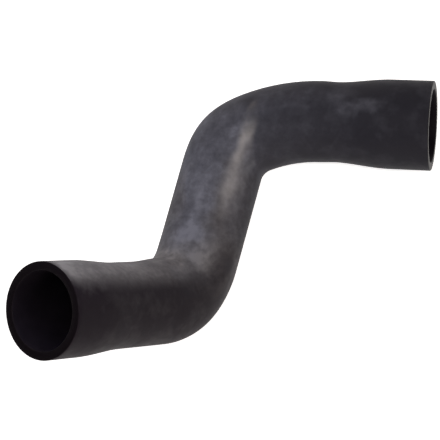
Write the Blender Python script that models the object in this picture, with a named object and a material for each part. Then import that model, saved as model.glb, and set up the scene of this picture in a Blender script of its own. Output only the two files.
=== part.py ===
"""Moulded coolant hose: one rubber tube with two tight bends, a long sweep and a wider cuff at each end.

Metres, +Z up. The hose lies as it comes to rest: on its middle leg and on its outlet cuff, with
the inlet leg standing up at a slant. The outlet leg points along +X in plan, and the origin is at
the bottom centre of the part's box.
"""

import math

import bmesh
import bpy
from mathutils import Matrix, Vector

# Section of the hose
INLET_BORE = 0.045
OUTLET_BORE = 0.045
BODY_BORE = 0.0405
WALL = 0.005
MOUTH_EDGE_ROUND = 0.0005

# Ends: a straight cuff for the clamp, then an S-shaped taper; the outlet's neck is slimmer than the body
INLET_CUFF = 0.024
INLET_TAPER = 0.036
OUTLET_CUFF = 0.0255
OUTLET_TAPER = 0.034
OUTLET_NECK_BORE = 0.0397

# Route of the centre line, from the inlet mouth; inside radii are those of the hollow of each bend
INLET_LEG = 0.103
FIRST_BEND = math.radians(72.0)
FIRST_BEND_INSIDE = 0.010
TWIST = math.radians(112.0)
MIDDLE_LEG = 0.060
SECOND_BEND = math.radians(56.5)
SECOND_BEND_INSIDE = 0.008
SWEEP = math.radians(24.0)
SWEEP_INSIDE = 0.075
OUTLET_LEG = 0.0685

# Rubber
RUBBER_COLOUR = (0.022, 0.020, 0.023, 1.0)
RUBBER_ROUGHNESS = 0.5

# Fineness of the mesh
SIDES = 40
TAPER_STEPS = 6
BEND_STEP = math.radians(7.5)
SHARP_ANGLE = math.radians(40.0)
ROLL_LIMIT = math.radians(25.0)
HALVINGS = 40

BODY_RADIUS = BODY_BORE / 2 + WALL
OUTLET_RADIUS = OUTLET_BORE / 2 + WALL


class Mandrel:
    """The skin of the bore, drawn ring by ring in the order in which the mandrel is bent."""

    def __init__(self, bore):
        self.bm = bmesh.new()
        self.frame = Matrix.Identity(4)
        self.radius = bore / 2
        ring = bmesh.ops.create_circle(self.bm, segments=SIDES, radius=self.radius)
        self.loop = list({edge for vert in ring["verts"] for edge in vert.link_edges})

    def go(self, length, bore):
        """Extrude the open loop straight ahead and bring it to a bore."""
        grown = bmesh.ops.extrude_edge_only(self.bm, edges=self.loop)["geom"]
        verts = [part for part in grown if isinstance(part, bmesh.types.BMVert)]
        self.loop = [part for part in grown if isinstance(part, bmesh.types.BMEdge)]
        ratio = bore / 2 / self.radius
        move = Matrix.Translation((0, 0, length)) @ Matrix.Diagonal((ratio, ratio, 1, 1))
        bmesh.ops.transform(self.bm, verts=verts, matrix=self.frame @ move @ self.frame.inverted())
        self.frame = self.frame @ Matrix.Translation((0, 0, length))
        self.radius = bore / 2

    def taper(self, length, bore):
        """Go over to another bore along an S-curve."""
        start = 2 * self.radius
        for step in range(1, TAPER_STEPS + 1):
            share = step / TAPER_STEPS
            blend = share * share * (3 - 2 * share)
            self.go(length / TAPER_STEPS, start + (bore - start) * blend)

    def twist(self, angle):
        """Turn the plane of the next bend about the centre line."""
        self.frame = self.frame @ Matrix.Rotation(angle, 4, "Z")

    def bend(self, angle, inside):
        """Spin the open loop round a centre that leaves the outer skin its inside radius."""
        centre = self.frame @ Vector((inside + self.radius + WALL, 0, 0))
        axis = self.frame.to_3x3() @ Vector((0, 1, 0))
        steps = max(2, math.ceil(angle / BEND_STEP))
        spun = bmesh.ops.spin(
            self.bm, geom=self.loop, cent=centre, axis=axis, angle=angle, steps=steps, use_duplicate=False
        )["geom_last"]
        self.loop = [part for part in spun if isinstance(part, bmesh.types.BMEdge)]
        turn = Matrix.Translation(centre) @ Matrix.Rotation(angle, 4, axis) @ Matrix.Translation(-centre)
        self.frame = turn @ self.frame


def bend_mandrel():
    """Draw the whole bore, and note the frames of the middle leg and of the outlet mouth."""
    mandrel = Mandrel(INLET_BORE)
    mandrel.go(INLET_CUFF, INLET_BORE)
    mandrel.taper(INLET_TAPER, BODY_BORE)
    mandrel.go(INLET_LEG - INLET_CUFF - INLET_TAPER, BODY_BORE)
    mandrel.bend(FIRST_BEND, FIRST_BEND_INSIDE)
    mandrel.twist(TWIST)
    middle = mandrel.frame.copy()
    mandrel.go(MIDDLE_LEG, BODY_BORE)
    mandrel.bend(SECOND_BEND, SECOND_BEND_INSIDE)
    mandrel.bend(SWEEP, SWEEP_INSIDE)
    mandrel.go(OUTLET_LEG - OUTLET_TAPER - OUTLET_CUFF, OUTLET_NECK_BORE)
    mandrel.taper(OUTLET_TAPER, OUTLET_BORE)
    mandrel.go(OUTLET_CUFF, OUTLET_BORE)
    return mandrel, middle


def lay_down(middle, outlet):
    """Placement that rests the hose on its middle leg and on its outlet cuff."""
    level = Matrix(((0, 0, 1, 0), (-1, 0, 0, 0), (0, -1, 0, 0), (0, 0, 0, 1))) @ middle.inverted()
    cuff_rims = (outlet, outlet @ Matrix.Translation((0, 0, -OUTLET_CUFF)))

    def cuff_clearance(roll):
        turned = [Matrix.Rotation(roll, 4, "X") @ level @ rim for rim in cuff_rims]
        drops = [OUTLET_RADIUS * math.sqrt(1 - rim.col[2].z ** 2) for rim in turned]
        return BODY_RADIUS + min(rim.translation.z - drop for rim, drop in zip(turned, drops))

    low, high = -ROLL_LIMIT, ROLL_LIMIT
    touches_above = cuff_clearance(high) > 0
    for _ in range(HALVINGS):
        roll = (low + high) / 2
        if (cuff_clearance(roll) > 0) == touches_above:
            high = roll
        else:
            low = roll
    laid = Matrix.Rotation(roll, 4, "X") @ level
    ahead = (laid @ outlet).col[2]
    return Matrix.Rotation(-math.atan2(ahead.y, ahead.x), 4, "Z") @ laid


def rubber():
    material = bpy.data.materials.new("black_rubber")
    material.use_nodes = True
    shader = material.node_tree.nodes["Principled BSDF"]
    shader.inputs["Base Color"].default_value = RUBBER_COLOUR
    shader.inputs["Roughness"].default_value = RUBBER_ROUGHNESS
    shader.inputs["Metallic"].default_value = 0.0
    return material


def make_hose():
    mandrel, middle = bend_mandrel()
    bmesh.ops.recalc_face_normals(mandrel.bm, faces=mandrel.bm.faces)
    mesh = bpy.data.meshes.new("coolant_hose")
    mandrel.bm.to_mesh(mesh)
    mandrel.bm.free()
    mesh.shade_smooth()
    mesh.materials.append(rubber())
    hose = bpy.data.objects.new("coolant_hose", mesh)
    bpy.context.scene.collection.objects.link(hose)

    wall = hose.modifiers.new("wall", "SOLIDIFY")
    wall.thickness = WALL
    wall.offset = 1.0
    wall.use_even_offset = True
    rounding = hose.modifiers.new("mouth_edges", "BEVEL")
    rounding.width = MOUTH_EDGE_ROUND
    rounding.segments = 1
    rounding.limit_method = "ANGLE"
    rounding.angle_limit = SHARP_ANGLE

    hose.matrix_world = lay_down(middle, mandrel.frame)
    bpy.context.view_layer.update()
    stand_on_origin(hose)
    return hose


def stand_on_origin(hose):
    """Shift the hose so that the bottom centre of its box is the origin."""
    built = hose.evaluated_get(bpy.context.evaluated_depsgraph_get())
    places = [hose.matrix_world @ vert.co for vert in built.to_mesh().vertices]
    lows = [min(place[k] for place in places) for k in range(3)]
    highs = [max(place[k] for place in places) for k in range(3)]
    built.to_mesh_clear()
    base = Vector(((lows[0] + highs[0]) / 2, (lows[1] + highs[1]) / 2, lows[2]))
    hose.matrix_world = Matrix.Translation(-base) @ hose.matrix_world


for old in list(bpy.data.objects):
    bpy.data.objects.remove(old, do_unlink=True)
make_hose()
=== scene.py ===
import math

import bpy
from mathutils import Matrix, Vector


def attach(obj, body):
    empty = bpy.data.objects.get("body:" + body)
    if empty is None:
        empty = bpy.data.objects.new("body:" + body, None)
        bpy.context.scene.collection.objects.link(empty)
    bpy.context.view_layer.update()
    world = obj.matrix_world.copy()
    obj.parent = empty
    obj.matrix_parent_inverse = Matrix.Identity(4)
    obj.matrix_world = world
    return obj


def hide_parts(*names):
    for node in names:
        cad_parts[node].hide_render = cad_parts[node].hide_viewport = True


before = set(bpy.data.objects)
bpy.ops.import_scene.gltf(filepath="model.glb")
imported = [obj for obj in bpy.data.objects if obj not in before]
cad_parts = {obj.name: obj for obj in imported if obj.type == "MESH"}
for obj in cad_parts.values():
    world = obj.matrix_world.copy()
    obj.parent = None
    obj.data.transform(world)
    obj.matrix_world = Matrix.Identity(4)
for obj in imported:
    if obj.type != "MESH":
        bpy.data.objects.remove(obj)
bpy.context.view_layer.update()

# Section of the hose, in metres
INLET_BORE = 0.045
OUTLET_BORE = 0.045
BODY_BORE = 0.0405
OUTLET_NECK_BORE = 0.0397
WALL = 0.005
MOUTH_EDGE_ROUND = 0.0005

# Lengths along the centre line and the bends, from the inlet mouth
INLET_CUFF = 0.024
INLET_TAPER = 0.036
INLET_LEG = 0.103
FIRST_BEND = math.radians(72.0)
FIRST_BEND_INSIDE = 0.010
TWIST = math.radians(112.0)
MIDDLE_LEG = 0.060
SECOND_BEND = math.radians(56.5)
SECOND_BEND_INSIDE = 0.008
SWEEP = math.radians(24.0)
SWEEP_INSIDE = 0.075
OUTLET_LEG = 0.0685
OUTLET_TAPER = 0.034
OUTLET_CUFF = 0.0255

# How the hose lies: the place of the inlet mouth, the way its leg heads, and the side that its first
# bend turns to
INLET_PLACE = Vector((-0.086456, -0.075028, 0.137523))
INLET_AHEAD = Vector((0.422602, 0.242578, -0.873249))
INLET_ASIDE = Vector((0.036275, 0.958216, 0.283736))

# Where the wall stands proud of a true sweep: which bend, on its inside or its outside, and how far
SWELLS = [("first", "inside", 0.0022), ("first", "outside", 0.0006), ("second", "outside", 0.0011)]
SWELL_CORE = 0.004
SWELL_REACH = 0.027

# Fineness of the skin
SIDES = 128
RING_STEP = 0.004
TAPER_RINGS = 14
BEND_STEP = math.radians(3.0)
MOUTH_EDGE_SEGMENTS = 3
SHARP_ANGLE = math.radians(40.0)
SMOOTH_ANGLE = math.radians(50.0)

# Real sizes of the patterns in the rubber, in metres. Knife marks are really a few tenths of a
# millimetre wide and are drawn coarser, so that they show.
CLOUD_SIZE = 0.01613
LUMP_SIZE = 0.003846
LUMP_HEIGHT = 0.0002
DENT_SIZE = 0.03571
DENT_DEPTH = 0.0012
BORE_CLOUD_SIZE = 0.008333
KNIFE_MARK_SIZE = 0.001111

# Nearly all values of the clouds and lumps lie between these two
NOISE_LOW = 0.3
NOISE_HIGH = 0.7

# The lists below give shares at so many millimetres along the hose, from 0 to this many
MM_PER_METRE = 1000.0
LIST_END = 360

# Share of bloom all round the hose, and in a band on one side of the inlet leg. Both are partly painted
# light: the band lies on the inlet leg's lit top and paints light there, and the share all round, high
# round the first bend and low on the outlet leg, paints the light falling off along the hose.
BLOOM_AND_PAINTED_LIGHT_ALL_ROUND = [
    (0, 0.02), (90, 0.04), (110, 0.08), (120, 0.15), (128, 0.34), (135, 0.60), (142, 0.70),
    (152, 0.70), (165, 0.54), (180, 0.53), (198, 0.58), (220, 0.45), (245, 0.24), (270, 0.15),
    (288, 0.09), (310, 0.05), (LIST_END, 0.03),
]
BLOOM_AND_PAINTED_LIGHT_IN_BAND = [
    (0, 0.30), (5, 0.92), (14, 0.78), (30, 0.62), (60, 0.66), (100, 0.62), (115, 0.40), (130, 0.22),
    (150, 0.08), (175, 0.0), (LIST_END, 0.0),
]

# The band in radians round the hose: its middle, how far from that it is full and ends, and how far the
# clouds shift it. The bloom all round is full up to the near side, and thins to a share of that at the
# far side, both measured from the band. That thinning on the side away from the lit band is painted
# shade.
BAND_SIDE = math.radians(-66.0)
BAND_CORE = 0.14
BAND_REACH = 0.72
BAND_WANDER = 0.5
NEAR_SIDE = 0.80
FAR_SIDE = 1.35
SHADED_FAR_SHARE = 0.62

# Oval patches of bloom: middle in millimetres along the hose and in degrees round it, half sizes in the
# same measures, and the share of bloom that they add or take away. Some of them paint light and shade, as
# marked.
BLUE_PATCH = (184.0, -74.0, 38.0, 34.0, 0.08)
OTHER_PATCHES = [
    (6.0, -65.0, 9.0, 10.0, 0.20),  # thick at the inlet mouth, and thinner beside that
    (8.0, -37.0, 20.0, 19.0, -0.11),
    (14.0, 2.0, 26.0, 42.0, -0.07),
    (122.0, -102.0, 26.0, 43.0, 0.60),  # in the hollow of the first bend: bloom, and painted light that lifts the shade in that hollow
    (141.0, -47.0, 16.0, 19.0, 0.26),  # thick beside the hollow
    (151.0, -59.0, 10.0, 10.0, -0.16),  # a thin spot at the edge of that
    (143.0, -13.0, 24.0, 27.0, -0.40),  # painted shade on the side of the first bend, where bloom is taken away
    (171.0, -72.0, 16.0, 11.0, 0.28),  # light and dark streaks on the middle leg
    (166.0, -41.0, 18.0, 14.0, -0.17),
    (171.0, -103.0, 16.0, 16.0, 0.20),
    (181.0, -42.0, 10.0, 9.0, -0.12),
    (191.0, -91.0, 8.0, 12.0, -0.12),
    (220.0, -26.0, 17.0, 10.0, 0.34),  # on the rubbed line: wax, and a painted highlight that widens its shine
    (233.0, -64.0, 10.0, 12.0, 0.24),  # beside the top of the rubbed line: wax, and a painted highlight
    (243.0, -97.0, 8.0, 22.0, -0.12),  # thinner beyond that
    (262.0, -61.0, 20.0, 16.0, -0.09),
    (284.0, -90.0, 15.0, 24.0, 0.11),  # chalky smears on the outlet leg, partly a painted highlight
    (302.0, -70.0, 10.0, 14.0, 0.13),
    (313.0, -76.0, 14.0, 15.0, 0.24),
]

# A patch is full up to its core and ends at its edge, both in half sizes from its middle, less the
# value of the clouds, which makes it ragged
PATCH_CORE = -0.2
PATCH_EDGE = 0.5

# Factors on the bloom where the clouds, or the lumps, are thinnest and thickest
CLOUDY = (0.68, 1.27)
LUMPY = (0.77, 1.23)

# Bloom that the clouds add everywhere, from the value where it starts to the one where it is full
HAZE = 0.10
HAZE_START = 0.48
HAZE_FULL = 0.72

# The cast goes from brownish to bluish from one of these places to the other, in millimetres along
# the hose, each shifted back by the dents' value times the wander, and partly so in the blue patch
BLUISH_FROM = 230.0
BLUISH_TO = 340.0
BLUISH_WANDER = 240.0
BLUISH_IN_PATCH = 0.6

# Wax rubbed to a shine: its share along the hose, and in turns round the hose its line and how far
# from that it is full and ends. The thinnest clouds leave the least share of it, and it is full
# from a thicker value of them on.
RUBBED_ALONG = [
    (0, 0.0), (165, 0.0), (178, 0.30), (190, 0.80), (205, 1.0), (238, 1.0), (242, 0.68), (248, 0.0),
    (LIST_END, 0.0),
]
RUB_LINE = [
    (0, 0.916), (180, 0.916), (190, 0.911), (205, 0.916), (213, 0.923), (221, 0.927), (227, 0.907),
    (232, 0.883), (237, 0.848), (242, 0.808), (250, 0.75), (LIST_END, 0.75),
]
RUB_CORE = 0.020
RUB_REACH = 0.066
RUB_LEAST = 0.6
RUB_FULL_CLOUDS = 0.6

# Studio: each lamp has its name, place, size, watts, colour, roll in degrees, and whether the
# rubber mirrors it
HOSE_MIDDLE = (-0.015, 0.007, 0.03)
LAMPS = [
    ("near_soft_box", (-0.0985, 0.0668, 0.2714), (0.14, 0.14), 0.27, "#f6f8ff", 0.0, False),
    ("low_front_box", (-0.015, -1.558, 0.363), (0.7, 0.7), 7.0, "#fff0e6", 0.0, True),
    ("low_back_box", (-0.798, 1.362, 0.363), (0.7, 0.7), 7.0, "#fff0e6", 0.0, True),
    ("strip_box", (0.5366, -0.1326, 1.0865), (1.5, 0.18), 7.4, "#fff3ea", -65.2, True),
    ("strip_end_box", (-0.1604, 0.0901, 1.2183), (0.5, 0.2), 1.3, "#fff3ea", -111.8, True),
]
FLOOR_SIZE = 8.0
FLOOR_GLOW = 0.85
CAMERA_PLACE = (0.18508198, -0.210887, 0.9690909)
CAMERA_TURN = (13.96708, 10.62589, 5.99924)
CAMERA_LENS = 130.7507
CAMERA_SENSOR = 36.0


def linear(hex_colour):
    """An sRGB hex colour as the linear red, green, blue and alpha that a shader takes."""
    shares = [int(hex_colour[k:k + 2], 16) / 255 for k in (1, 3, 5)]
    return [s / 12.92 if s <= 0.04045 else ((s + 0.055) / 1.055) ** 2.4 for s in shares] + [1.0]


def add_node(tree, kind, inputs=None, stops=(), **settings):
    """A node with its settings, its inputs set to a value or linked to another node or socket, and,
    if it is a ramp, its list of shares along the hose."""
    node = tree.nodes.new("ShaderNode" + kind)
    for name, value in settings.items():
        setattr(node, name, value)
    for name, value in (inputs or {}).items():
        if isinstance(value, bpy.types.Node):
            value = value.outputs[0]
        if isinstance(value, bpy.types.NodeSocket):
            tree.links.new(value, node.inputs[name])
        else:
            node.inputs[name].default_value = value
    for place, share in stops:
        marks = node.color_ramp.elements
        mark = {0: marks[0], LIST_END: marks[-1]}.get(place) or marks.new(place / LIST_END)
        mark.color = (share, share, share, 1.0)
    return node


class HoseSkin:
    """The bore of the hose, drawn ring by ring in edit mode as the mandrel is bent."""

    def __init__(self):
        aside = INLET_ASIDE.normalized()
        ahead = (INLET_AHEAD - aside * INLET_AHEAD.dot(aside)).normalized()
        turn = Matrix((aside, ahead.cross(aside), ahead)).transposed().to_4x4()
        self.frame = Matrix.Translation(INLET_PLACE) @ turn
        self.radius = INLET_BORE / 2
        self.travelled = 0.0
        self.stations = [0.0]
        self.wall_places = {}
        bpy.ops.object.select_all(action="DESELECT")
        bpy.ops.mesh.primitive_circle_add(
            vertices=SIDES, radius=self.radius, location=INLET_PLACE, rotation=turn.to_euler()
        )
        bpy.ops.object.transform_apply(location=True, rotation=True, scale=True)
        bpy.ops.object.mode_set(mode="EDIT")
        bpy.ops.mesh.select_mode(type="EDGE")

    def extrude(self, length, bore):
        """Pull the open edge straight ahead and bring it to a bore."""
        ahead = self.frame.to_3x3() @ Vector((0, 0, length))
        bpy.ops.mesh.extrude_edges_move(TRANSFORM_OT_translate={"value": ahead})
        self.frame = Matrix.Translation(ahead) @ self.frame
        ratio = bore / 2 / self.radius
        bpy.ops.transform.resize(value=(ratio, ratio, ratio), center_override=self.frame.translation)
        self.radius = bore / 2
        self.travelled += length
        self.stations.append(self.travelled)

    def run(self, length, bore, rings):
        """Go ahead in several rings, to another bore along an S-curve."""
        start = 2 * self.radius
        for ring in range(1, rings + 1):
            share = ring / rings
            self.extrude(length / rings, start + (bore - start) * share * share * (3 - 2 * share))

    def straight(self, length, bore=None):
        self.run(length, bore or 2 * self.radius, max(2, round(length / RING_STEP)))

    def twist(self, angle):
        self.frame = self.frame @ Matrix.Rotation(angle, 4, "Z")

    def bend(self, angle, inside, name):
        """Spin the open edge round a centre that leaves the outer skin its inside radius, and note
        where the outer wall's inside and outside are, halfway round."""
        reach = inside + self.radius + WALL
        centre = self.frame @ Vector((reach, 0, 0))
        axis = self.frame.to_3x3() @ Vector((0, 1, 0))
        steps = math.ceil(angle / BEND_STEP)
        bpy.ops.mesh.spin(steps=steps, angle=-angle, center=centre, axis=axis, use_auto_merge=False)
        outward = Matrix.Rotation(angle / 2, 3, axis) @ (self.frame.translation - centre).normalized()
        self.wall_places[name, "inside"] = centre + outward * inside, -outward
        self.wall_places[name, "outside"] = centre + outward * (2 * reach - inside), outward
        turn = Matrix.Translation(centre) @ Matrix.Rotation(angle, 4, axis) @ Matrix.Translation(-centre)
        self.frame = turn @ self.frame
        for _ in range(steps):
            self.travelled += reach * angle / steps
            self.stations.append(self.travelled)


def draw_skin():
    skin = HoseSkin()
    skin.straight(INLET_CUFF)
    skin.run(INLET_TAPER, BODY_BORE, TAPER_RINGS)
    skin.straight(INLET_LEG - INLET_CUFF - INLET_TAPER)
    skin.bend(FIRST_BEND, FIRST_BEND_INSIDE, "first")
    skin.twist(TWIST)
    skin.straight(MIDDLE_LEG)
    skin.bend(SECOND_BEND, SECOND_BEND_INSIDE, "second")
    skin.bend(SWEEP, SWEEP_INSIDE, "sweep")
    skin.straight(OUTLET_LEG - OUTLET_TAPER - OUTLET_CUFF, OUTLET_NECK_BORE)
    skin.run(OUTLET_TAPER, OUTLET_BORE, TAPER_RINGS)
    skin.straight(OUTLET_CUFF)
    bpy.ops.mesh.select_all(action="SELECT")
    bpy.ops.mesh.normals_make_consistent(inside=False)
    bpy.ops.object.mode_set(mode="OBJECT")
    return skin


def mark_straightened(mesh, stations):
    """Give each point its place on the hose laid straight, so that patterns follow the bends."""
    around = BODY_BORE / 2 + WALL
    marks = mesh.attributes.new("straightened", "FLOAT_VECTOR", "POINT")
    for index, mark in enumerate(marks.data):
        ring, side = divmod(index, SIDES)
        angle = math.tau * side / SIDES
        mark.vector = (around * math.cos(angle), around * math.sin(angle), stations[ring])


def swell_wall(mesh, place, outward, height):
    """Raise the outer wall a little where the rubber was pushed together or drawn over a bend."""
    for vert in mesh.vertices:
        vert.select = (vert.co - place).length < SWELL_CORE
    bpy.ops.object.mode_set(mode="EDIT")
    bpy.ops.transform.translate(
        value=outward * height, use_proportional_edit=True, use_proportional_connected=True,
        proportional_edit_falloff="SMOOTH", proportional_size=SWELL_REACH,
    )
    bpy.ops.mesh.select_all(action="DESELECT")
    bpy.ops.object.mode_set(mode="OBJECT")


def make_hose(outer_finish, bore_finish, cut_finish):
    skin = draw_skin()
    hose = bpy.context.object
    hose.name = "moulded_hose"
    mark_straightened(hose.data, skin.stations)
    for finish in (outer_finish, bore_finish, cut_finish):
        hose.data.materials.append(finish)

    wall = hose.modifiers.new("wall", "SOLIDIFY")
    wall.thickness = WALL
    wall.offset = 1.0
    wall.use_even_offset = True
    wall.material_offset = 1
    wall.material_offset_rim = 2
    bpy.ops.object.modifier_apply(modifier=wall.name)

    bpy.ops.object.mode_set(mode="EDIT")
    bpy.ops.mesh.select_mode(type="VERT")
    bpy.ops.mesh.select_all(action="DESELECT")
    bpy.ops.object.mode_set(mode="OBJECT")
    for bend, side, height in SWELLS:
        place, outward = skin.wall_places[bend, side]
        swell_wall(hose.data, place, outward, height)

    edges = hose.modifiers.new("mouth_edges", "BEVEL")
    edges.width = MOUTH_EDGE_ROUND
    edges.segments = MOUTH_EDGE_SEGMENTS
    edges.limit_method = "ANGLE"
    edges.angle_limit = SHARP_ANGLE
    bpy.ops.object.modifier_apply(modifier=edges.name)
    bpy.ops.object.shade_smooth_by_angle(angle=SMOOTH_ANGLE)
    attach(hose, "root")
    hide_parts("coolant_hose")


def principled(name, values):
    """A material that starts as one Principled shader with these values, with its tree."""
    material = bpy.data.materials.new(name)
    material.use_nodes = True
    shader = material.node_tree.nodes["Principled BSDF"]
    for socket, value in values.items():
        shader.inputs[socket].default_value = value
    return material, material.node_tree, shader


def band_and_round(tree, way, side, clouds):
    """Share of bloom in the frayed band on the inlet leg, and all round on the middle leg. The band also
    paints light on the lit side, and the thinning away from it is painted shade.
    """
    wander = add_node(
        tree, "Math", {0: clouds, 1: BAND_WANDER, 2: -BAND_WANDER / 2 - BAND_SIDE},
        operation="MULTIPLY_ADD",
    )
    from_band = add_node(tree, "Math", {0: side, 1: wander}, operation="ADD")
    from_band = add_node(tree, "Math", {0: from_band}, operation="ABSOLUTE")
    band = add_node(
        tree, "MapRange", {"Value": from_band, "From Min": BAND_REACH, "From Max": BAND_CORE},
        interpolation_type="SMOOTHSTEP",
    )
    along_band = add_node(tree, "ValToRGB", {"Fac": way}, BLOOM_AND_PAINTED_LIGHT_IN_BAND)
    in_band = add_node(tree, "Math", {0: band, 1: along_band}, operation="MULTIPLY")
    # Painted shade: the bloom all round thins on the side away from the lit band
    painted_shade_off_band = add_node(
        tree, "MapRange",
        {"Value": from_band, "From Min": FAR_SIDE, "From Max": NEAR_SIDE, "To Min": SHADED_FAR_SHARE},
        interpolation_type="SMOOTHSTEP",
    )
    all_round = add_node(tree, "ValToRGB", {"Fac": way}, BLOOM_AND_PAINTED_LIGHT_ALL_ROUND)
    return add_node(tree, "Math", {0: all_round, 1: painted_shade_off_band, 2: in_band}, operation="MULTIPLY_ADD")


def patch_share(tree, here, clouds, patch):
    """A share that is 1 in the middle of a cloudy oval patch on the skin and 0 outside it."""
    middle_along, middle_round, half_along, half_round = patch[:4]
    middle = (middle_along, math.radians(middle_round), 0.0)
    half_sizes = (half_along, math.radians(half_round), 1.0)
    off = add_node(tree, "VectorMath", {0: here, 1: middle}, operation="SUBTRACT")
    off = add_node(tree, "VectorMath", {0: off, 1: half_sizes}, operation="DIVIDE")
    far = add_node(tree, "VectorMath", {0: off}, operation="LENGTH").outputs["Value"]
    ragged = add_node(tree, "Math", {0: far, 1: clouds}, operation="SUBTRACT")
    return add_node(
        tree, "MapRange", {"Value": ragged, "From Min": PATCH_EDGE, "From Max": PATCH_CORE},
        interpolation_type="SMOOTHSTEP",
    )


def mottled(tree, share, clouds, lumps):
    """Bloom broken up into clouds and lumps, with a haze in the thickest clouds."""
    noise_range = {"From Min": NOISE_LOW, "From Max": NOISE_HIGH}
    thin, thick = CLOUDY
    cloudy = add_node(tree, "MapRange", {"Value": clouds, **noise_range, "To Min": thin, "To Max": thick})
    thin, thick = LUMPY
    lumpy = add_node(tree, "MapRange", {"Value": lumps, **noise_range, "To Min": thin, "To Max": thick})
    mottle = add_node(tree, "Math", {0: cloudy, 1: lumpy}, operation="MULTIPLY")
    haze = add_node(
        tree, "MapRange", {"Value": clouds, "From Min": HAZE_START, "From Max": HAZE_FULL, "To Max": HAZE}
    )
    return add_node(
        tree, "Math", {0: share, 1: mottle, 2: haze}, operation="MULTIPLY_ADD", use_clamp=True
    )


def rubbed_share(tree, way, side, clouds):
    """Share of rubbed wax, on a line that keeps to one side of the middle leg and swings over at the
    second bend."""
    turns = add_node(tree, "Math", {0: side, 1: 1 / math.tau, 2: 1.0}, operation="MULTIPLY_ADD")
    line = add_node(tree, "ValToRGB", {"Fac": way}, RUB_LINE)
    from_line = add_node(tree, "Math", {0: turns, 1: line}, operation="SUBTRACT")
    from_line = add_node(tree, "Math", {0: from_line}, operation="ABSOLUTE")
    near_line = add_node(
        tree, "MapRange", {"Value": from_line, "From Min": RUB_REACH, "From Max": RUB_CORE},
        interpolation_type="SMOOTHSTEP",
    )
    along_line = add_node(tree, "ValToRGB", {"Fac": way}, RUBBED_ALONG)
    rubbed = add_node(tree, "Math", {0: along_line, 1: near_line}, operation="MULTIPLY")
    patchy = add_node(
        tree, "MapRange",
        {"Value": clouds, "From Min": NOISE_LOW, "From Max": RUB_FULL_CLOUDS, "To Min": RUB_LEAST},
    )
    return add_node(tree, "Math", {0: rubbed, 1: patchy}, operation="MULTIPLY")


def outer_rubber():
    """Moulded EPDM rubber, cured on a mandrel.

    The eye sees a dull black skin, slightly purple, with a grey bloom of wax and mould powder over it.
    The bloom lies thickest round the first bend, in its hollow and on the lit side of the inlet leg, and
    it thins on the side away from that and towards the outlet leg; these are partly painted light and
    painted shade. It breaks up into clouds, streaks and small lumps. It is taken away on the side of the
    first bend as painted shade. Hands have rubbed the wax to a shine along the second bend, with lighter
    patches beside that line that are a painted highlight, and some chalky smears, partly a painted
    highlight, are left on the outlet leg.
    """
    material, tree, shader = principled(
        "moulded_epdm_rubber_with_bloom_and_painted_light",
        {"Specular IOR Level": 0.07, "Coat Roughness": 0.40, "Coat IOR": 1.9},
    )
    place = add_node(tree, "Attribute", attribute_name="straightened").outputs["Vector"]
    parts = add_node(tree, "SeparateXYZ", {"Vector": place}).outputs
    along = add_node(tree, "Math", {0: parts["Z"], 1: MM_PER_METRE}, operation="MULTIPLY")
    way = add_node(tree, "Math", {0: along, 1: LIST_END}, operation="DIVIDE")
    side = add_node(tree, "Math", {0: parts["Y"], 1: parts["X"]}, operation="ARCTAN2")
    here = add_node(tree, "CombineXYZ", {"X": along, "Y": side})

    spot = add_node(tree, "TexCoord").outputs["Object"]
    clouds = add_node(
        tree, "TexNoise", {"Vector": spot, "Scale": 1 / CLOUD_SIZE, "Detail": 3.0, "Roughness": 0.6}
    )
    lumps = add_node(
        tree, "TexNoise", {"Vector": spot, "Scale": 1 / LUMP_SIZE, "Detail": 3.0, "Roughness": 0.6}
    )
    dents = add_node(tree, "TexNoise", {"Vector": spot, "Scale": 1 / DENT_SIZE, "Detail": 2.0})

    # Bloom, with painted light and painted shade in its lists and patches
    share = band_and_round(tree, way, side, clouds)
    in_blue_patch = patch_share(tree, here, clouds, BLUE_PATCH)
    share = add_node(
        tree, "Math", {0: in_blue_patch, 1: BLUE_PATCH[-1], 2: share}, operation="MULTIPLY_ADD"
    )
    for patch in OTHER_PATCHES:
        in_patch = patch_share(tree, here, clouds, patch)
        share = add_node(tree, "Math", {0: in_patch, 1: patch[-1], 2: share}, operation="MULTIPLY_ADD")
    # This share of bloom carries the painted light and painted shade as well
    bloom = mottled(tree, share, clouds, lumps)

    # Both the rubber and its bloom go from a brownish to a bluish cast along the hose
    drift = add_node(tree, "Math", {0: dents, 1: BLUISH_WANDER, 2: along}, operation="MULTIPLY_ADD")
    bluer = add_node(tree, "MapRange", {"Value": drift, "From Min": BLUISH_FROM, "From Max": BLUISH_TO})
    bluer = add_node(
        tree, "Math", {0: in_blue_patch, 1: BLUISH_IN_PATCH, 2: bluer},
        operation="MULTIPLY_ADD", use_clamp=True,
    )
    rubber = add_node(
        tree, "Mix", {0: bluer, 6: linear("#1e1920"), 7: linear("#24242b")}, data_type="RGBA"
    ).outputs[2]
    wax = add_node(
        tree, "Mix", {0: bluer, 6: linear("#747376"), 7: linear("#6c6e79")}, data_type="RGBA"
    ).outputs[2]
    colour = add_node(tree, "Mix", {0: bloom, 6: rubber, 7: wax}, data_type="RGBA").outputs[2]
    tree.links.new(colour, shader.inputs["Base Color"])

    rubbed = rubbed_share(tree, way, side, clouds)
    tree.links.new(rubbed.outputs[0], shader.inputs["Coat Weight"])
    rough = add_node(tree, "MapRange", {"Value": lumps, "To Min": 0.50, "To Max": 0.70})
    tree.links.new(rough.outputs[0], shader.inputs["Roughness"])
    wavy = add_node(tree, "Bump", {"Height": dents, "Strength": 0.5, "Distance": DENT_DEPTH})
    bumpy = add_node(
        tree, "Bump", {"Height": lumps, "Strength": 0.4, "Distance": LUMP_HEIGHT, "Normal": wavy}
    )
    tree.links.new(bumpy.outputs[0], shader.inputs["Normal"])
    return material


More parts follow.
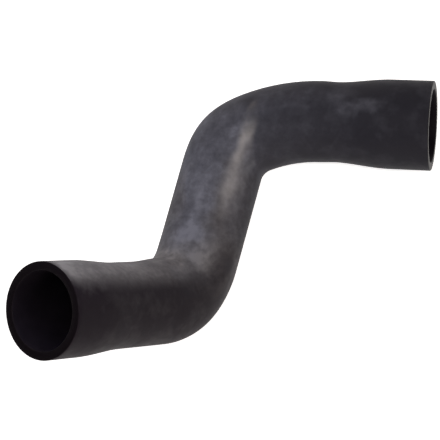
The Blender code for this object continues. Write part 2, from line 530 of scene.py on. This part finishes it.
def bore_rubber():
    """Rubber moulded on the smooth mandrel: a plain dark wall with faint clouds."""
    material, tree, shader = principled("bore_epdm_rubber", {"Roughness": 0.6, "Specular IOR Level": 0.1})
    place = add_node(tree, "Attribute", attribute_name="straightened").outputs["Vector"]
    clouds = add_node(tree, "TexNoise", {"Vector": place, "Scale": 1 / BORE_CLOUD_SIZE, "Detail": 3.0})
    colour = add_node(
        tree, "Mix", {0: clouds, 6: linear("#110e15"), 7: linear("#1e1a22")}, data_type="RGBA"
    ).outputs[2]
    tree.links.new(colour, shader.inputs["Base Color"])
    return material


def cut_rubber():
    """Rubber cut with a knife: dull black, with fine cutting marks and no bloom."""
    material, tree, shader = principled(
        "knife_cut_epdm_rubber", {"Roughness": 0.45, "Specular IOR Level": 0.06}
    )
    place = add_node(tree, "Attribute", attribute_name="straightened").outputs["Vector"]
    marks = add_node(tree, "TexNoise", {"Vector": place, "Scale": 1 / KNIFE_MARK_SIZE, "Detail": 2.0})
    colour = add_node(
        tree, "Mix", {0: marks, 6: linear("#0e0b0f"), 7: linear("#161216")}, data_type="RGBA"
    ).outputs[2]
    tree.links.new(colour, shader.inputs["Base Color"])
    return material


def lay_floor():
    """White paper with a glow that shows only to the eye and in mirrors, and lights nothing."""
    bpy.ops.object.select_all(action="DESELECT")
    bpy.ops.mesh.primitive_plane_add(size=FLOOR_SIZE, location=(0, 0, 0))
    floor = bpy.context.object
    floor.name = "studio_floor"
    material, tree, shader = principled("white_paper_sweep", {
        "Base Color": linear("#f4f4f4"), "Roughness": 1.0, "Specular IOR Level": 0.0,
        "Emission Color": (1, 1, 1, 1),
    })
    rays = add_node(tree, "LightPath").outputs
    seen = add_node(
        tree, "Math", {0: rays["Is Camera Ray"], 1: rays["Is Glossy Ray"]}, operation="MAXIMUM"
    )
    seen = add_node(tree, "Math", {0: seen, 1: rays["Is Transmission Ray"]}, operation="MAXIMUM")
    glow = add_node(tree, "Math", {0: seen, 1: FLOOR_GLOW}, operation="MULTIPLY")
    tree.links.new(glow.outputs[0], shader.inputs["Emission Strength"])
    floor.data.materials.append(material)


def add_lamp(name, place, size, power, colour, roll, mirrored):
    """A soft rectangular lamp that faces the hose, turned about its own axis by roll."""
    bpy.ops.object.light_add(type="AREA", location=place)
    lamp = bpy.context.object
    lamp.name = name
    lamp.rotation_euler = (Vector(place) - Vector(HOSE_MIDDLE)).to_track_quat("Z", "Y").to_euler()
    lamp.rotation_euler.rotate_axis("Z", math.radians(roll))
    lamp.data.shape = "RECTANGLE"
    lamp.data.size, lamp.data.size_y = size
    lamp.data.energy = power
    lamp.data.color = linear(colour)[:3]
    lamp.visible_camera = False
    lamp.visible_glossy = mirrored


def light_studio():
    """Lamps in a dark room."""
    world = bpy.data.worlds.new("studio")
    bpy.context.scene.world = world
    world.use_nodes = True
    world.node_tree.nodes["Background"].inputs["Strength"].default_value = 0.0
    for lamp in LAMPS:
        add_lamp(*lamp)


def aim_camera():
    bpy.ops.object.camera_add(
        location=CAMERA_PLACE, rotation=[math.radians(turn) for turn in CAMERA_TURN]
    )
    camera = bpy.context.object
    camera.name = "photo_camera"
    camera.data.lens = CAMERA_LENS
    camera.data.sensor_width = CAMERA_SENSOR
    bpy.context.scene.camera = camera


aim_camera()
make_hose(outer_rubber(), bore_rubber(), cut_rubber())
lay_floor()
light_studio()
bpy.context.scene.view_settings.view_transform = "Standard"
